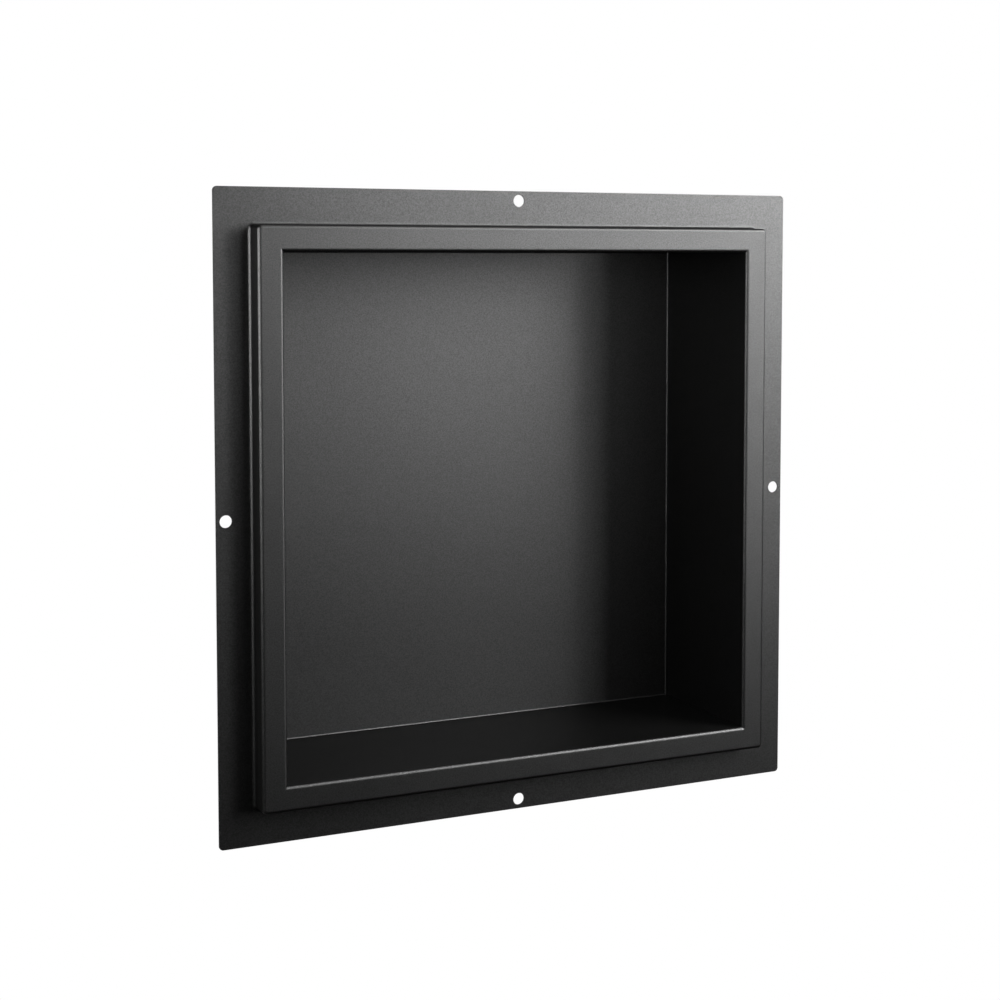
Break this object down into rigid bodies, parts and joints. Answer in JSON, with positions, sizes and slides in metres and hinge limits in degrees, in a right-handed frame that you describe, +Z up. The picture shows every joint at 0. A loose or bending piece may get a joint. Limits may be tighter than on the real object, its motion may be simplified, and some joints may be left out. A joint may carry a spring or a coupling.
{
  "type": "shower niche insert",
  "caption": "Square recessed wall niche folded from black-coated sheet steel, with a raised rim and a flat screw flange, for keeping bottles inside a shower wall.",
  "frame": {"origin": "centre of the flange's back, on the plane that lies against the wall and at the centre of the screw holes", "axes": "+X to the right seen from the front, +Y into the wall along the recess, +Z up; the open front faces -Y"},
  "size_m": [0.378, 0.101, 0.378],
  "materials": {
    "black_coat": "satin black coating with a fine grain"
  },
  "bodies": {
    "root": {"niche_insert": "black_coat"}
  },
  "joints": []
}
